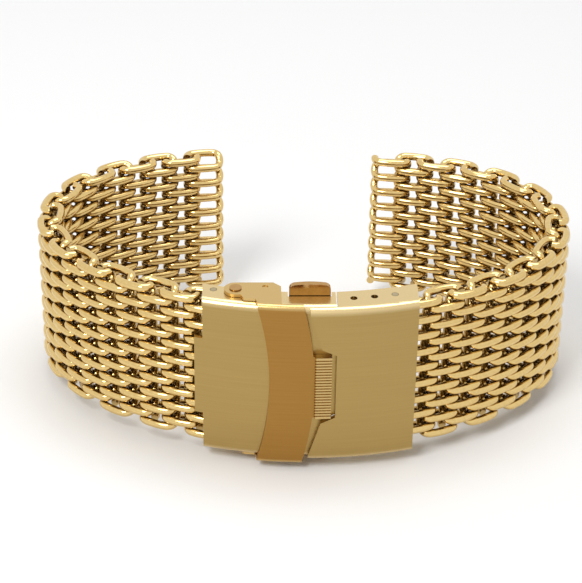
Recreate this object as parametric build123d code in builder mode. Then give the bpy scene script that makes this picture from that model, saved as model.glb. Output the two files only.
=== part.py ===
"""Shark mesh watch bracelet standing on its side edge, closed by a fold-over clasp.

Millimetres. +Z up runs across the strap's width. The clasp faces -Y, the free ends lie at +Y.
The origin is the middle of the bracelet's footprint on the surface that it stands on.
"""

import os
from math import asin, atan, cos, degrees, log, pi, radians, sin, sqrt, tan

from build123d import *

os.makedirs("parts", exist_ok=True)

# Mesh: flattened spirals of round wire, each hooked into the next
strap_width = 22.0
wire = 1.1
bar_rows = 9
spiral_length = 6.0
spiral_thickness = 3.8
spiral_spacing = 3.35
bar_length = 3.0
bar_bow = 0.13
tip_slope = 62.0
right_spirals = 21
left_spirals = 20

# Plan of the loop, in degrees of turn from one spiral to the next
first_turn = 4.0
loop_end_heading = 172.0
middle_turn_share = 2.0
middle_place_share = 0.55

# Clasp sheets, bent to a common centre
clasp_radius = 48.0
sheet = 0.7
side_wall = 0.6
strap_side_gap = 0.1
wall_depth = 3.9
seat_gap = 0.05
part_gap = 0.15
strap_gap = 0.25
edge_round = 1.0
lock_round = 0.6
overrun = 2.0

# End cap
cap_left = 14.2
cap_ledge_right = 4.0
cap_tongue = 1.1
cap_tongue_half = 5.8
cap_first_spiral_x = 13.9
cap_bar_back = 1.15

# Step line between the cap's ledge and the cover
step_edge_x = -0.3
step_knee_x = 1.3
step_knee_z = 5.7
step_bay_x = 3.2
step_bay_z = 4.8
ledge_margin = 0.15
ledge_under = 0.1

# Cover
cover_right = 13.8
cover_wall_left = 3.2
adjust_pitch = 2.7
adjust_holes = 3
cover_first_spiral_x = 11.05
cover_bar_back = 0.3
lug_thickness = 1.45
lug_foot = 4.6

# Flip lock
lock_left = 7.1
lock_right = 1.2
lock_bow = 1.6
ear = 0.45
ear_right = 4.0
ear_foot_depth = 5.6
ear_corner = 1.0
ear_shoulder = 7.4
ear_shoulder_depth = 1.5
ear_notch = 8.9
ear_notch_depth = 1.7
ear_neck = 9.3
pivot_x = 9.9
pivot_depth = 3.0
pivot_lobe = 1.5
rivet_radius = 0.6
rivet_head = 0.8
rivet_head_height = 0.12
tab_gap = 0.6
tab_side_gap = 0.1
tab_rise = 0.35
rib_count = 22
rib_groove = 0.2
rib_depth = 0.22
dimple_x = 6.05
dimple_depth = 4.1
dimple_radius = 0.4
dimple_sink = 0.12

# Folding blades
blade = 0.7
short_blade_depth = 4.3
blade_gap = 0.2
long_blade_half = 6.0
cover_hinge_x = 2.0
blade_hinge_x = 11.0
knuckle = 0.9
hinge_pin = 0.45
pin_clearance = 0.04
arm_width = 0.75
slot_end_x = 4.4
middle_knuckle_half = 3.0
blade_root_left = 10.4
blade_root_right = 6.9
blade_ramp_foot = 4.0
window_left = 0.5
window_right = 6.5
window_half = 3.0

# Push buttons in the cap's side walls
button_left = 3.0
button_right = 2.4
button_rise = 1.7
button_depth = 3.4
button_arch = 0.25
button_corner = 0.8
button_thickness = 0.8
flange = 0.3
flange_extra = 0.5

# Spring bars
bar_radius = 0.55
bar_tip_radius = 0.42
bar_tip_clearance = 0.05
bar_shoulder = 0.35

# Values worked out from the sizes above
pitch = (strap_width - wire) / (bar_rows - 0.5)
inner_half = strap_width / 2 + strap_side_gap
half_width = inner_half + side_wall
clasp_width = 2 * half_width
lock_half = half_width + seat_gap + ear
mid_z = half_width + button_rise
outer_radius = clasp_radius + seat_gap + sheet
wall_foot = clasp_radius - wall_depth
ear_foot = clasp_radius - ear_foot_depth
cap_right = cover_wall_left - part_gap
cap_bar_x = cap_first_spiral_x - cap_bar_back
cover_bar_x = cover_first_spiral_x - cover_bar_back
ledge_half = inner_half - ledge_margin
tab_right = step_bay_x - tab_gap
tab_half = step_bay_z - tab_side_gap
long_blade_depth = short_blade_depth + blade + blade_gap
arm_inner = long_blade_half + part_gap
blade_half = arm_inner + arm_width
lug_near = blade_half + part_gap
lug_far = lug_near + lug_thickness
cap_strap_radius = clasp_radius - sheet - strap_gap - spiral_thickness / 2
cover_strap_radius = clasp_radius + seat_gap - strap_gap - spiral_thickness / 2


def polar(radius, x):
    """A point on a circle about the clasp's centre, at a place along X."""
    return (x, -sqrt(radius**2 - x**2))


def chain(radius, first_x, count):
    """Centres and headings of a row of spirals, from the clasp to the free end."""
    heading = degrees(asin(first_x / radius))
    x, y = polar(radius, first_x)
    row = [(x, y, heading)]
    turns = count - 1
    rest = loop_end_heading - heading - first_turn
    lean = log(0.5) / log(middle_place_share)
    swell = []
    for i in range(turns - 1):
        along = ((i + 0.5) / (turns - 1)) ** lean
        swell.append(1 + middle_turn_share * sin(pi * along) ** 2)
    bends = [first_turn] + [rest * s / sum(swell) for s in swell]
    for bend in bends:
        half = spiral_spacing / 2
        x += half * (cos(radians(heading)) + cos(radians(heading + bend)))
        y += half * (sin(radians(heading)) + sin(radians(heading + bend)))
        heading += bend
        row.append((x, y, heading))
    return row


def reach(row, direction):
    """How far a row of spirals reaches along a direction, as a distance from the clasp's centre."""
    straight = (spiral_length - spiral_thickness) / 2
    far = []
    for x, y, heading in row:
        along = cos(radians(heading)) * direction[0] + sin(radians(heading)) * direction[1]
        far.append(x * direction[0] + y * direction[1] + straight * abs(along) + spiral_thickness / 2)
    return max(far)


right_row = chain(cover_strap_radius, cover_first_spiral_x, right_spirals)
left_row = chain(cap_strap_radius, cap_first_spiral_x, left_spirals)

# The clasp's centre, placed so that the footprint's middle is the origin
centre_x = (reach(left_row, (1, 0)) - reach(right_row, (1, 0))) / 2
centre_y = (outer_radius - max(reach(right_row, (0, 1)), reach(left_row, (0, 1)))) / 2


def level(z):
    """A horizontal plane about the clasp's centre."""
    return Plane(origin=(centre_x, centre_y, z))


front = Plane(origin=(centre_x, centre_y, mid_z), x_dir=(1, 0, 0), z_dir=(0, -1, 0))


def curved_sheet(inner, outer, left, right, mode=Mode.ADD):
    """A sheet's plan between two radii and two places along X, in the open sketch."""
    with BuildSketch(mode=Mode.PRIVATE) as plan:
        Circle(outer)
        Circle(inner, mode=Mode.SUBTRACT)
        with Locations(((left + right) / 2, -outer)):
            Rectangle(right - left, 2 * (outer - inner) + outer / 2, mode=Mode.INTERSECT)
    add(plan.sketch, mode=mode)


def arc_between(start, corner, end):
    """The arc from start to end whose end tangents meet at corner."""
    middle = (start + end) * 0.5
    half = (end - start).length / 2
    lift = (corner - middle).length
    angle = atan(lift / half)
    return ThreePointArc(start, middle + (corner - middle).normalized() * half * tan(angle / 2), end)


def two_arcs(start, start_way, end, end_way):
    """Two arcs that leave start and reach end along the given ways."""
    span = end - start
    ways = start_way + end_way
    a = 2 * (1 - start_way.dot(end_way))
    b = 2 * span.dot(ways)
    arm = (-b + sqrt(b * b + 4 * a * span.dot(span))) / (2 * a)
    first = start + start_way * arm
    last = end - end_way * arm
    join = (first + last) * 0.5
    arc_between(start, first, join)
    arc_between(join, last, end)


bar_half = bar_length / 2
end_depth = (spiral_thickness - wire) / 2 - bar_bow
tip_x = (spiral_length - wire) / 2
bow_angle = 2 * atan(bar_bow / bar_half)
bow_lift = bar_half * tan(bow_angle)


def bar(side, z, way):
    """A bowed bar at z, side -1 on the outer face and 1 on the inner face, way its run along X."""
    start = Vector(-way * bar_half, side * end_depth, z)
    end = Vector(way * bar_half, side * end_depth, z)
    arc_between(start, (start + end) * 0.5 + Vector(0, side * bow_lift, 0), end)


def bend(side, z, way):
    """The bend that leaves a bar at z and side along way, and rises half a pitch to the other face."""
    start = Vector(way * bar_half, side * end_depth, z)
    tip = Vector(way * tip_x, 0, z + pitch / 4)
    end = Vector(way * bar_half, -side * end_depth, z + pitch / 2)
    out_way = Vector(way * cos(bow_angle), -side * sin(bow_angle), 0)
    back_way = Vector(-way * cos(bow_angle), -side * sin(bow_angle), 0)
    slope = radians(tip_slope)
    over = Vector(0, -side * cos(slope), sin(slope))
    two_arcs(start, out_way, tip, over)
    two_arcs(tip, over, end, back_way)


def open_end(side, z, way):
    """The flat quarter turn at a wire's cut end, from the bar's end to the spiral's far side."""
    start = Vector(bar_half, side * end_depth, z)
    tip = Vector(tip_x, 0, z)
    along = Vector(cos(bow_angle), -side * sin(bow_angle), 0)
    across = Vector(0, -side, 0)
    if way > 0:
        two_arcs(start, along, tip, across)
    else:
        two_arcs(tip, -across, start, -along)


# One spiral in its own frame: X along the strap away from the clasp, Y towards the wrist.
# Outer bars run towards the clasp, inner bars away from it.
with BuildPart() as spiral:
    with BuildLine() as wire_line:
        open_end(-1, -strap_width / 2 + wire / 2, -1)
        for row in range(bar_rows):
            low = -strap_width / 2 + wire / 2 + row * pitch
            bar(-1, low, -1)
            bend(-1, low, -1)
            bar(1, low + pitch / 2, 1)
            if row < bar_rows - 1:
                bend(1, low + pitch / 2, 1)
        open_end(1, strap_width / 2 - wire / 2, 1)
    start_point = wire_line.line @ 0
    with BuildSketch(Plane(origin=start_point, z_dir=wire_line.line % 0)) as wire_section:
        Circle(wire / 2)
    sweep(path=wire_line.line)


def place_spiral(name, row, index, hand):
    """One spiral of a row, turned over at every second place, hand 1 to the right and -1 to the left."""
    x, y, heading = row[index]
    with BuildPart() as coil:
        shape = spiral.part
        if index % 2:
            shape = shape.rotate(Axis.Y, 180)
        shape = shape.rotate(Axis.Z, heading).translate((x, y, 0))
        if hand < 0:
            shape = shape.mirror(Plane.YZ)
        add(shape.translate((centre_x, centre_y, mid_z)))
    coil.part.label = name
    export_step(coil.part, f"parts/{name}.step")


for index in range(right_spirals):
    place_spiral(f"right_spiral_{index + 1:02d}", right_row, index, 1)
for index in range(left_spirals):
    place_spiral(f"left_spiral_{index + 1:02d}", left_row, index, -1)


def post(place, radius, low, high, mode=Mode.ADD):
    """An upright round post at a place of the plan, between two heights from the strap's middle."""
    with BuildSketch(level(mid_z + low)) as plan:
        with Locations(place):
            Circle(radius)
    extrude(plan.sketch, amount=high - low, mode=mode)


def post_pair(place, radius, near, far, mode=Mode.ADD):
    """The same post above and below the strap's middle."""
    post(place, radius, near, far, mode)
    post(place, radius, -far, -near, mode)


def round_outside(part, radius, amount):
    """Round a bent sheet's outer edges, which run along the arc at a radius."""
    arcs = part.edges().filter_by(GeomType.CIRCLE)
    fillet([edge for edge in arcs if abs(edge.radius - radius) < seat_gap / 2], amount)


cap_bar = polar(cap_strap_radius, -cap_bar_x)
cover_bar = polar(cover_strap_radius, cover_bar_x)
pivot_radius = clasp_radius - pivot_depth
lock_pivot = polar(pivot_radius, -pivot_x)
cover_inner = clasp_radius + seat_gap
cap_inner = clasp_radius - sheet
short_outer = clasp_radius - short_blade_depth
long_outer = clasp_radius - long_blade_depth
cover_hinge = polar(short_outer - blade / 2, cover_hinge_x)
blade_hinge = polar(short_outer - knuckle, blade_hinge_x)
button_x = (button_right - button_left) / 2
button_length = button_left + button_right
button_place = polar(clasp_radius - button_depth, button_x)
ear_inner = half_width + seat_gap

# End cap: a bent channel whose ledge runs on under the flip lock to the step line
with BuildPart() as end_cap:
    with BuildSketch(level(mid_z - half_width)):
        curved_sheet(wall_foot, clasp_radius, -cap_left - cap_tongue, cap_ledge_right)
    extrude(amount=clasp_width)
    round_outside(end_cap.part, clasp_radius, edge_round)
    with BuildSketch(level(mid_z - inner_half)):
        curved_sheet(wall_foot - overrun, cap_inner, -cap_left - overrun, cap_right + overrun)
    extrude(amount=2 * inner_half, mode=Mode.SUBTRACT)
    # Left edge with its wider middle
    with BuildSketch(front):
        for half in (-1, 1):
            with Locations((-cap_left - cap_tongue, half * (cap_tongue_half + half_width) / 2)):
                Rectangle(2 * cap_tongue, half_width - cap_tongue_half)
    extrude(amount=clasp_radius + overrun, mode=Mode.SUBTRACT)
    # Right edge: the ledge follows the step line just under the cover, clear of its hinge lugs
    with BuildSketch(front):
        for half in (-1, 1):
            with BuildLine():
                Polyline(
                    (step_edge_x + ledge_under, half * inner_half),
                    (step_edge_x + ledge_under, half * ledge_half),
                    (step_knee_x + ledge_under, half * step_knee_z),
                    (cap_right, half * step_bay_z),
                    (cap_right, half * inner_half),
                    close=True,
                )
            make_face()
            with Locations((cap_right + overrun / 2, half * (step_bay_z + lock_half) / 2)):
                Rectangle(overrun, lock_half - step_bay_z)
    extrude(amount=clasp_radius + overrun, mode=Mode.SUBTRACT)
    post(cap_bar, bar_tip_radius + bar_tip_clearance, -lock_half, lock_half, Mode.SUBTRACT)
    post(lock_pivot, rivet_radius + pin_clearance, -lock_half, lock_half, Mode.SUBTRACT)
    # Notches in the walls' edges that the push buttons slide in
    with BuildSketch(level(mid_z - lock_half)):
        notch_front = button_place[1] - button_thickness / 2 - part_gap
        with Locations((button_x, notch_front + overrun / 2)):
            Rectangle(button_length + 2 * part_gap, overrun)
    extrude(amount=2 * lock_half, mode=Mode.SUBTRACT)
end_cap.part.label = "end_cap"
export_step(end_cap.part, "parts/end_cap.step")

# Cover: a bent channel with a stepped left edge, hinge lugs and adjustment holes
with BuildPart() as clasp_cover:
    with BuildSketch(level(mid_z - half_width)):
        curved_sheet(wall_foot, outer_radius, step_edge_x, cover_right)
    extrude(amount=clasp_width)
    round_outside(clasp_cover.part, outer_radius, edge_round)
    with BuildSketch(level(mid_z - lock_half)):
        curved_sheet(wall_foot - overrun, cover_inner, step_edge_x - overrun, cover_wall_left)
    extrude(amount=2 * lock_half, mode=Mode.SUBTRACT)
    with BuildSketch(level(mid_z - inner_half)):
        curved_sheet(wall_foot - overrun, cover_inner, step_edge_x - overrun, cover_right + overrun)
    extrude(amount=2 * inner_half, mode=Mode.SUBTRACT)
    with BuildSketch(front):
        with BuildLine():
            Polyline(
                (step_edge_x, half_width),
                (step_edge_x, ledge_half),
                (step_knee_x, step_knee_z),
                (step_bay_x, step_bay_z),
                (step_bay_x, -step_bay_z),
                (step_knee_x, -step_knee_z),
                (step_edge_x, -ledge_half),
                (step_edge_x, -half_width),
                (step_edge_x - overrun, -half_width),
                (step_edge_x - overrun, half_width),
                close=True,
            )
        make_face()
    extrude(amount=clasp_radius + overrun, mode=Mode.SUBTRACT)
    for low in (lug_near, -lug_far):
        with BuildSketch(level(mid_z + low)):
            with Locations(cover_hinge):
                Circle(knuckle)
            lug_low = short_outer - blade / 2
            curved_sheet(lug_low, cover_inner, cover_hinge_x - knuckle, cover_hinge_x + knuckle)
            curved_sheet(cover_inner - knuckle, cover_inner, cover_hinge_x, lug_foot)
        extrude(amount=lug_far - lug_near)
    post(cover_hinge, hinge_pin + pin_clearance, -lock_half, lock_half, Mode.SUBTRACT)
    for hole in range(adjust_holes):
        hole_place = polar(cover_strap_radius, cover_bar_x - hole * adjust_pitch)
        post(hole_place, bar_tip_radius + bar_tip_clearance, -lock_half, lock_half, Mode.SUBTRACT)
clasp_cover.part.label = "clasp_cover"
export_step(clasp_cover.part, "parts/clasp_cover.step")

# Flip lock: a bent band with two ears on the pivots and a ribbed thumb tab
with BuildPart() as flip_lock:
    with BuildSketch(level(mid_z - lock_half)):
        curved_sheet(cover_inner, outer_radius, -lock_left, tab_right)
        curved_sheet(pivot_radius, outer_radius, -lock_left, -ear_right)
        with BuildLine():
            lobe_front = lock_pivot[1] - pivot_lobe
            Polyline(
                (-pivot_x, lock_pivot[1] + pivot_lobe),
                (-ear_right - ear_corner, -ear_foot),
                (-ear_right, -ear_foot - ear_corner),
                polar(clasp_radius, -ear_right),
                polar(clasp_radius, -lock_left),
                (-ear_shoulder, ear_shoulder_depth - clasp_radius),
                (-ear_notch, ear_notch_depth - clasp_radius),
                (-ear_neck, lobe_front),
                (-pivot_x, lobe_front),
                close=True,
            )
        make_face()
        with Locations(lock_pivot):
            Circle(pivot_lobe)
    extrude(amount=2 * lock_half)
    round_outside(flip_lock.part, outer_radius, lock_round)
    with BuildSketch(level(mid_z - ear_inner)):
        curved_sheet(ear_foot - 2 * overrun, cover_inner, -cap_left, tab_right + overrun)
    extrude(amount=2 * ear_inner, mode=Mode.SUBTRACT)
    # Bowed edges, the right one with the tab left standing
    with BuildSketch(front):
        with BuildLine():
            ThreePointArc((-lock_left, -ear_inner), (lock_bow - lock_left, 0), (-lock_left, ear_inner))
            Line((-lock_left, ear_inner), (-lock_left, -ear_inner))
        make_face()
        with BuildLine():
            ThreePointArc((-lock_right, -lock_half), (lock_bow - lock_right, 0), (-lock_right, lock_half))
            Polyline(
                (-lock_right, lock_half),
                (tab_right + overrun, lock_half),
                (tab_right + overrun, -lock_half),
                (-lock_right, -lock_half),
            )
        make_face()
        with Locations((tab_right / 2, 0)):
            Rectangle(tab_right, 2 * tab_half, mode=Mode.SUBTRACT)
    extrude(amount=clasp_radius + overrun, mode=Mode.SUBTRACT)
    tab_left = lock_bow - lock_right
    with BuildSketch(level(mid_z - tab_half)):
        curved_sheet(cover_inner, outer_radius + tab_rise, tab_left, tab_right)
    extrude(amount=2 * tab_half)
    rib_pitch = 2 * tab_half / rib_count
    for rib in range(1, rib_count):
        with BuildSketch(level(mid_z - tab_half + rib * rib_pitch - rib_groove / 2)):
            rib_floor = outer_radius + tab_rise - rib_depth
            curved_sheet(rib_floor, rib_floor + overrun, tab_left, tab_right + overrun)
        extrude(amount=rib_groove, mode=Mode.SUBTRACT)
    post(lock_pivot, rivet_radius + pin_clearance, -lock_half, lock_half, Mode.SUBTRACT)
    dimple_place = polar(clasp_radius - dimple_depth, -dimple_x)
    post_pair(dimple_place, dimple_radius, lock_half - dimple_sink, lock_half, Mode.SUBTRACT)
flip_lock.part.label = "flip_lock"
export_step(flip_lock.part, "parts/flip_lock.step")

with BuildPart() as lock_rivets:
    head_foot = lock_half + seat_gap
    post_pair(lock_pivot, rivet_radius, inner_half, head_foot)
    post_pair(lock_pivot, rivet_head, head_foot, head_foot + rivet_head_height)
    post_pair(lock_pivot, rivet_head, inner_half - seat_gap - rivet_head_height, inner_half - seat_gap)
    post_pair(lock_pivot, rivet_radius, inner_half - seat_gap, inner_half)
lock_rivets.part.label = "lock_rivets"
export_step(lock_rivets.part, "parts/lock_rivets.step")

# Push buttons, each with a flange behind the side wall
button_plane = Plane(
    origin=(centre_x + button_x, centre_y + button_place[1], mid_z), x_dir=(1, 0, 0), z_dir=(0, -1, 0)
)
for name, side in (("push_button_upper", 1), ("push_button_lower", -1)):
    with BuildPart() as button:
        flange_far = inner_half - seat_gap
        crown = half_width + button_rise
        with BuildSketch(button_plane):
            with BuildLine():
                ThreePointArc(
                    (-button_length / 2, side * (crown - button_arch)),
                    (0, side * crown),
                    (button_length / 2, side * (crown - button_arch)),
                )
                Polyline(
                    (button_length / 2, side * (crown - button_arch)),
                    (button_length / 2, side * (flange_far - flange)),
                    (-button_length / 2, side * (flange_far - flange)),
                    (-button_length / 2, side * (crown - button_arch)),
                )
            outline = make_face()
            shoulders = [point for point in outline.vertices() if abs(point.Z - mid_z) > half_width]
            fillet(shoulders, button_corner)
        extrude(amount=button_thickness / 2, both=True)
        with BuildSketch(button_plane):
            with Locations((0, side * (flange_far - flange / 2))):
                Rectangle(button_length + 2 * flange_extra, flange)
        extrude(amount=button_thickness / 2, both=True)
    button.part.label = name
    export_step(button.part, f"parts/{name}.step")

# Long blade: fixed under the end cap, stepped down and hinged at its right end
knuckle_clear = blade_hinge_x - knuckle - part_gap
with BuildPart() as long_blade:
    with BuildSketch(level(mid_z - long_blade_half)):
        curved_sheet(long_outer - blade, long_outer, -blade_ramp_foot, blade_hinge_x)
        curved_sheet(cap_inner - blade, cap_inner, -blade_root_left, -blade_root_right)
        with BuildLine():
            Polyline(
                polar(cap_inner, -blade_root_right),
                polar(long_outer, blade - blade_ramp_foot),
                polar(long_outer - blade, -blade_ramp_foot),
                polar(cap_inner - blade, -blade_root_right - blade),
                close=True,
            )
        make_face()
    extrude(amount=2 * long_blade_half)
    with BuildSketch(front):
        with Locations(((window_left + window_right) / 2, 0)):
            Rectangle(window_right - window_left, 2 * window_half)
        for half in (-1, 1):
            notch_inner = middle_knuckle_half
            with Locations((knuckle_clear + overrun, half * (notch_inner + blade_half) / 2)):
                Rectangle(2 * overrun, blade_half - notch_inner)
    extrude(amount=clasp_radius + overrun, mode=Mode.SUBTRACT)
    post(blade_hinge, knuckle, -middle_knuckle_half, middle_knuckle_half)
    post(blade_hinge, hinge_pin + pin_clearance, -lock_half, lock_half, Mode.SUBTRACT)
long_blade.part.label = "long_blade"
export_step(long_blade.part, "parts/long_blade.step")

# Short blade: a plate with two arms that reach the cover's lugs
with BuildPart() as short_blade:
    with BuildSketch(level(mid_z - blade_half)):
        curved_sheet(short_outer - blade, short_outer, cover_hinge_x, blade_hinge_x)
    extrude(amount=2 * blade_half)
    with BuildSketch(front):
        with Locations((slot_end_x / 2, 0)):
            Rectangle(slot_end_x, 2 * arm_inner)
        with Locations((knuckle_clear + overrun, 0)):
            Rectangle(2 * overrun, 2 * (middle_knuckle_half + part_gap))
    extrude(amount=clasp_radius + overrun, mode=Mode.SUBTRACT)
    post_pair(cover_hinge, knuckle, arm_inner, blade_half)
    post_pair(blade_hinge, knuckle, middle_knuckle_half + part_gap, blade_half)
    post(cover_hinge, hinge_pin + pin_clearance, -lock_half, lock_half, Mode.SUBTRACT)
    post(blade_hinge, hinge_pin + pin_clearance, -lock_half, lock_half, Mode.SUBTRACT)
short_blade.part.label = "short_blade"
export_step(short_blade.part, "parts/short_blade.step")

with BuildPart() as blade_hinge_pin:
    post(blade_hinge, hinge_pin, -blade_half, blade_half)
blade_hinge_pin.part.label = "blade_hinge_pin"
export_step(blade_hinge_pin.part, "parts/blade_hinge_pin.step")

with BuildPart() as cover_hinge_pins:
    post_pair(cover_hinge, hinge_pin, arm_inner, lug_far)
cover_hinge_pins.part.label = "cover_hinge_pins"
export_step(cover_hinge_pins.part, "parts/cover_hinge_pins.step")

# Spring bars through the first spiral of each half
for name, place in (("cap_spring_bar", cap_bar), ("cover_spring_bar", cover_bar)):
    with BuildPart() as spring_bar:
        shoulder = inner_half - bar_shoulder
        post(place, bar_radius, -shoulder, shoulder)
        post(place, bar_tip_radius, -half_width, half_width)
    spring_bar.part.label = name
    export_step(spring_bar.part, f"parts/{name}.step")
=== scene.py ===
import math

import bpy
from mathutils import Matrix, Vector


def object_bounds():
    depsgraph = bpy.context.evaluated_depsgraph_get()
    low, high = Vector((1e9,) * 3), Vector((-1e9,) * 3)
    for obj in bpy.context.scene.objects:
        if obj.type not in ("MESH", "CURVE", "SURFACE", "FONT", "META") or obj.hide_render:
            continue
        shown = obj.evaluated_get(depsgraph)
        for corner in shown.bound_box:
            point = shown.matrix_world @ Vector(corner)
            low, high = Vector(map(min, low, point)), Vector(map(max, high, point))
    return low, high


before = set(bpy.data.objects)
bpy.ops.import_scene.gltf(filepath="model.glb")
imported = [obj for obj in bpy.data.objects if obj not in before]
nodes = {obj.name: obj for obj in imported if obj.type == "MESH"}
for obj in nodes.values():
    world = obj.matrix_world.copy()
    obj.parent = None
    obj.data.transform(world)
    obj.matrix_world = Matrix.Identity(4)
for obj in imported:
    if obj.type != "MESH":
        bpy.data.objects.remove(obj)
cad_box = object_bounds()

# The mesh: 41 flattened spirals of round steel wire, each threaded through its neighbours and
# closed at its ends, 21 on the clasp's cover and 20 on its end cap. The wire is plated in bright
# yellow gold and polished, and painted shade darkens its colour where it lies against other wires.
WIRE_GRAIN = (2600, 2600, 2600)  # fine and even
GRAIN_DETAIL = 3.0
GRAIN_FAINT, GRAIN_STRONG = 0.3, 0.7  # the reach of most of the noise's values
RELIEF_STRENGTH = 0.5
CREVICE_REACH = 0.002  # in metres, how near other wires darken this one
CREVICE_SHUT, CREVICE_CLEAR = 0.10, 0.62  # how open the deepest crevice and the plain wire are
CREVICE_RAYS = 8


def mapped(tree, source, start, end, low_value, high_value):
    """Source's values from start to end, mapped to low_value to high_value."""
    made = tree.nodes.new("ShaderNodeMapRange")
    made.inputs["From Min"].default_value = start
    made.inputs["From Max"].default_value = end
    made.inputs["To Min"].default_value = low_value
    made.inputs["To Max"].default_value = high_value
    tree.links.new(source, made.inputs["Value"])
    return made.outputs["Result"]


def plated_metal(name, light, dark, grain, rough, relief):
    """Plated metal whose grain runs from a dark to a light tint of one gold.

    grain is how many streaks there are to the metre along X, Y and Z, rough the lowest and highest
    roughness along them, and relief their height in metres.
    """
    made = bpy.data.materials.new(name)
    made.use_nodes = True
    tree = made.node_tree
    shader = tree.nodes["Principled BSDF"]
    shader.inputs["Metallic"].default_value = 1.0
    place = tree.nodes.new("ShaderNodeTexCoord")
    stretch = tree.nodes.new("ShaderNodeMapping")
    stretch.inputs["Scale"].default_value = grain
    tree.links.new(place.outputs["Object"], stretch.inputs["Vector"])
    noise = tree.nodes.new("ShaderNodeTexNoise")
    noise.inputs["Scale"].default_value = 1.0
    noise.inputs["Detail"].default_value = GRAIN_DETAIL
    tree.links.new(stretch.outputs["Vector"], noise.inputs["Vector"])
    streaks = noise.outputs["Fac"]
    tint = tree.nodes.new("ShaderNodeMix")
    tint.data_type = "RGBA"
    tint.inputs["A"].default_value = (*dark, 1.0)
    tint.inputs["B"].default_value = (*light, 1.0)
    lightness = mapped(tree, streaks, GRAIN_FAINT, GRAIN_STRONG, 0.0, 1.0)
    tree.links.new(lightness, tint.inputs["Factor"])
    tree.links.new(tint.outputs["Result"], shader.inputs["Base Color"])
    roughness = mapped(tree, streaks, GRAIN_FAINT, GRAIN_STRONG, *rough)
    tree.links.new(roughness, shader.inputs["Roughness"])
    bump = tree.nodes.new("ShaderNodeBump")
    bump.inputs["Distance"].default_value = relief
    bump.inputs["Strength"].default_value = RELIEF_STRENGTH
    tree.links.new(streaks, bump.inputs["Height"])
    tree.links.new(bump.outputs["Normal"], shader.inputs["Normal"])
    return made


def recolour(metal, where, colour):
    """Turn the metal to colour as the value of where rises from 0 to 1."""
    tree = metal.node_tree
    shown = tree.nodes["Principled BSDF"].inputs["Base Color"]
    mix = tree.nodes.new("ShaderNodeMix")
    mix.data_type = "RGBA"
    mix.inputs["B"].default_value = (*colour, 1.0)
    tree.links.new(where, mix.inputs["Factor"])
    tree.links.new(shown.links[0].from_socket, mix.inputs["A"])
    tree.links.new(mix.outputs["Result"], shown)


def paint_crevice_shade(metal, colour):
    """Paint shade into the metal's colour where other wires lie close to it, as painted shade in
    the crevices.
    """
    tree = metal.node_tree
    opening = tree.nodes.new("ShaderNodeAmbientOcclusion")
    opening.samples = CREVICE_RAYS
    opening.inputs["Distance"].default_value = CREVICE_REACH
    crevice_shade = mapped(tree, opening.outputs["AO"], CREVICE_SHUT, CREVICE_CLEAR, 1.0, 0.0)
    recolour(metal, crevice_shade, colour)


def plate(metal, *names):
    """Give the named pieces this metal and no other."""
    for name in names:
        coats = nodes[name].data.materials
        coats.clear()
        coats.append(metal)


wire_gold = plated_metal(
    "wire_gold",
    light=(0.76, 0.56, 0.24),
    dark=(0.69, 0.49, 0.195),
    grain=WIRE_GRAIN,
    rough=(0.07, 0.15),
    relief=0.000008,
)
# Painted shade: the wire's colour turns dark brown in its crevices, wherever other wires lie near.
paint_crevice_shade(wire_gold, colour=(0.13, 0.068, 0.014))
plate(wire_gold, *(name for name in nodes if "spiral" in name))

# End cap and cover: two channels bent from sheet steel, which meet at the step in the clasp's face.
# Both are brushed along the strap in a dull yellow gold, and the rounded shoulders and the walls
# at their sides are polished, with a painted sheen that colours them lighter.
STRAP_MIDDLE = (cad_box[0].z + cad_box[1].z) / 2
BRUSHED_GRAIN = (80, 80, 5200)  # long streaks along the strap, close together across it
POLISHED_ROUGHNESS = 0.26
POLISHED_RELIEF = 0.05  # the strength of the relief left on a polished wall


def place_along(metal, axis):
    """The place of the metal's surface along an axis of the bracelet, in metres."""
    tree = metal.node_tree
    split = tree.nodes.new("ShaderNodeSeparateXYZ")
    tree.links.new(tree.nodes["Texture Coordinate"].outputs["Object"], split.inputs["Vector"])
    return split.outputs[axis]


def distance_from_middle(metal):
    """How far the metal's surface lies above or below the strap's middle height."""
    tree = metal.node_tree
    offset = tree.nodes.new("ShaderNodeMath")
    offset.operation = "SUBTRACT"
    offset.inputs[1].default_value = STRAP_MIDDLE
    tree.links.new(place_along(metal, "Z"), offset.inputs[0])
    size = tree.nodes.new("ShaderNodeMath")
    size.operation = "ABSOLUTE"
    tree.links.new(offset.outputs["Value"], size.inputs[0])
    return size.outputs["Value"]


def polish_and_paint_wall_sheen(metal, starts, ends, colour):
    """Polish the metal and paint it a lighter colour as a painted sheen, from starts to ends off
    the strap's middle.
    """
    tree = metal.node_tree
    away = distance_from_middle(metal)
    polish_and_sheen = mapped(tree, away, starts, ends, 0.0, 1.0)
    recolour(metal, polish_and_sheen, colour)
    gloss = tree.nodes["Principled BSDF"].inputs["Roughness"]
    smooth = tree.nodes.new("ShaderNodeMix")
    smooth.inputs["B"].default_value = POLISHED_ROUGHNESS
    tree.links.new(polish_and_sheen, smooth.inputs["Factor"])
    tree.links.new(gloss.links[0].from_socket, smooth.inputs["A"])
    tree.links.new(smooth.outputs["Result"], gloss)
    fainter = mapped(tree, away, starts, ends, RELIEF_STRENGTH, POLISHED_RELIEF)
    tree.links.new(fainter, tree.nodes["Bump"].inputs["Strength"])


sheet_gold = plated_metal(
    "sheet_gold",
    light=(0.42, 0.288, 0.101),
    dark=(0.39, 0.266, 0.092),
    grain=BRUSHED_GRAIN,
    rough=(0.28, 0.34),
    relief=0.000004,
)
# The walls' lighter colour is a painted sheen; their lower roughness is real polish.
polish_and_paint_wall_sheen(sheet_gold, starts=0.0107, ends=0.0113, colour=(0.72, 0.55, 0.28))
plate(sheet_gold, "end_cap", "clasp_cover")

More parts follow.
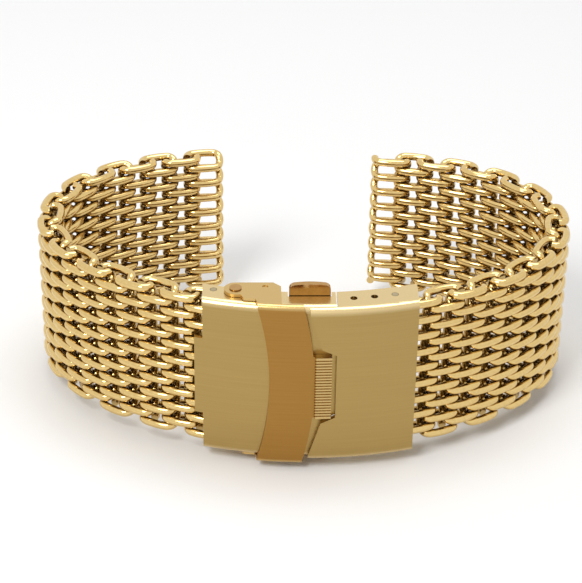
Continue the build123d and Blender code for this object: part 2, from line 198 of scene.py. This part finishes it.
# Flip lock: a band bent over the end cap, with an ear on a rivet at each side and a ribbed tab for
# the thumb. It is brushed like the cap under it but in a redder gold, with polished shoulders that
# a painted sheen colours lighter, and a lighter tab.
BAND_ENDS, TAB_BEGINS = 0.00075, 0.00085  # along X, where the lock's two colours meet

lock_gold = plated_metal(
    "lock_gold",
    light=(0.37, 0.195, 0.047),
    dark=(0.34, 0.175, 0.041),
    grain=BRUSHED_GRAIN,
    rough=(0.28, 0.36),
    relief=0.000006,
)
on_tab = mapped(
    lock_gold.node_tree, place_along(lock_gold, "X"), BAND_ENDS, TAB_BEGINS, 0.0, 1.0
)
recolour(lock_gold, on_tab, colour=(0.56, 0.40, 0.17))
# The shoulders' lighter colour is a painted sheen; their lower roughness is real polish.
polish_and_paint_wall_sheen(lock_gold, starts=0.0115, ends=0.0119, colour=(0.62, 0.43, 0.17))
plate(lock_gold, "flip_lock")

# Rivets and push buttons: the rivets are turned and carry the lock's ears. The buttons are stamped,
# one in each wall of the end cap, and pressed to let the cover go. All are polished.
trim_gold = plated_metal(
    "trim_gold",
    light=(0.52, 0.31, 0.115),
    dark=(0.47, 0.275, 0.095),
    grain=(1500, 1500, 1500),
    rough=(0.12, 0.20),
    relief=0.000008,
)
plate(trim_gold, "lock_rivets", "push_button_upper", "push_button_lower")

# Folding blades: two strips of sheet steel inside the clasp, the long one fixed under the end cap
# and the short one hinged between it and the cover. They are plated with the rest and left satin.
blade_gold = plated_metal(
    "blade_gold",
    light=(0.62, 0.44, 0.18),
    dark=(0.55, 0.38, 0.15),
    grain=BRUSHED_GRAIN,
    rough=(0.20, 0.32),
    relief=0.000012,
)
plate(blade_gold, "long_blade", "short_blade")

# Hinge pins and spring bars: turned steel, plated thinly. The pins join the blades and the cover,
# and the sprung bars hold the mesh's first spirals in the walls of the cap and the cover.
pin_steel = plated_metal(
    "pin_steel",
    light=(0.50, 0.41, 0.25),
    dark=(0.44, 0.36, 0.21),
    grain=(900, 900, 3000),
    rough=(0.18, 0.30),
    relief=0.00001,
)
plate(pin_steel, "blade_hinge_pin", "cover_hinge_pins", "cap_spring_bar", "cover_spring_bar")

# Floor: a plain pale sheet that the bracelet stands on, lit to white. It keeps the bracelet's
# shadow and shows in the clasp's faces.
FLOOR_SIZE = 3.0
PAPER_COLOUR = (0.90, 0.90, 0.90, 1.0)
PAPER_ROUGHNESS = 0.75

bpy.ops.mesh.primitive_plane_add(size=FLOOR_SIZE, location=(0, 0, cad_box[0].z))
floor = bpy.context.object
floor.name = "floor"
paper = bpy.data.materials.new("paper")
paper.use_nodes = True
paper_shader = paper.node_tree.nodes["Principled BSDF"]
paper_shader.inputs["Base Color"].default_value = PAPER_COLOUR
paper_shader.inputs["Roughness"].default_value = PAPER_ROUGHNESS
floor.data.materials.append(paper)

# Studio light: the surroundings are white to the camera, in reflections and through glass, and a
# plain fill light elsewhere. A wide lamp hangs above, and a smaller one at the front left draws
# the highlights on the wires.
FILL, WHITE = 0.5, 1.0
LAMPS_AIM = Vector((0, 0, 0.01))

world = bpy.data.worlds.new("studio")
bpy.context.scene.world = world
world.use_nodes = True
studio = world.node_tree
surround = studio.nodes["Background"]
surround.inputs["Color"].default_value = (1.0, 1.0, 1.0, 1.0)
rays = studio.nodes.new("ShaderNodeLightPath")
direct = studio.nodes.new("ShaderNodeMath")
direct.operation = "ADD"
studio.links.new(rays.outputs["Is Camera Ray"], direct.inputs[0])
studio.links.new(rays.outputs["Is Glossy Ray"], direct.inputs[1])
seen = studio.nodes.new("ShaderNodeMath")
seen.operation = "ADD"
studio.links.new(direct.outputs["Value"], seen.inputs[0])
studio.links.new(rays.outputs["Is Transmission Ray"], seen.inputs[1])
strength = mapped(studio, seen.outputs["Value"], 0.0, 1.0, FILL, WHITE)
studio.links.new(strength, surround.inputs["Strength"])


def soft_lamp(name, place, size, power):
    """A soft rectangular lamp at a place, turned to the bracelet."""
    data = bpy.data.lights.new(name, "AREA")
    data.shape = "RECTANGLE"
    data.size, data.size_y = size
    data.energy = power
    made = bpy.data.objects.new(name, data)
    bpy.context.scene.collection.objects.link(made)
    made.location = place
    made.rotation_mode = "QUATERNION"
    made.rotation_quaternion = (LAMPS_AIM - Vector(place)).to_track_quat("-Z", "Y")


soft_lamp("top_lamp", place=(0.05, 0.10, 0.55), size=(0.36, 0.24), power=1.1)
soft_lamp("left_lamp", place=(-0.22, -0.30, 0.42), size=(0.20, 0.20), power=1.5)

# Camera: a long lens in front of the clasp and above it, a little rolled, as the photograph was
# taken. It is placed by a point of the clasp's face, whose distance before the camera and place
# beside its axis are known.
FOCAL, FRAME_WIDTH = 1961.5, 582  # in pixels
SENSOR = 36.0  # in millimetres
NEAREST = 0.01
AZIMUTH, ELEVATION, ROLL = math.radians(-2.0), math.radians(30.5), math.radians(0.95)
FACE_POINT = Vector((0.00027, -0.0241, STRAP_MIDDLE))
DISTANCE, TO_RIGHT, UPWARD = 0.2558, 0.00268, -0.01255  # of that point, from the camera

forward = Vector(
    (
        -math.sin(AZIMUTH) * math.cos(ELEVATION),
        math.cos(AZIMUTH) * math.cos(ELEVATION),
        -math.sin(ELEVATION),
    )
)
level_right = forward.cross(Vector((0, 0, 1))).normalized()
level_up = level_right.cross(forward)
right = level_right * math.cos(ROLL) + level_up * math.sin(ROLL)
up = level_up * math.cos(ROLL) - level_right * math.sin(ROLL)
spot = FACE_POINT - forward * DISTANCE - right * TO_RIGHT - up * UPWARD
camera_data = bpy.data.cameras.new("camera")
camera_data.sensor_width = SENSOR
camera_data.sensor_fit = "HORIZONTAL"
camera_data.lens = FOCAL / FRAME_WIDTH * SENSOR
camera_data.clip_start = NEAREST
camera = bpy.data.objects.new("camera", camera_data)
bpy.context.scene.collection.objects.link(camera)
turned = Matrix((right, up, -forward)).transposed()
camera.matrix_world = Matrix.Translation(spot) @ turned.to_4x4()
bpy.context.scene.camera = camera
bpy.context.scene.view_settings.view_transform = "Standard"
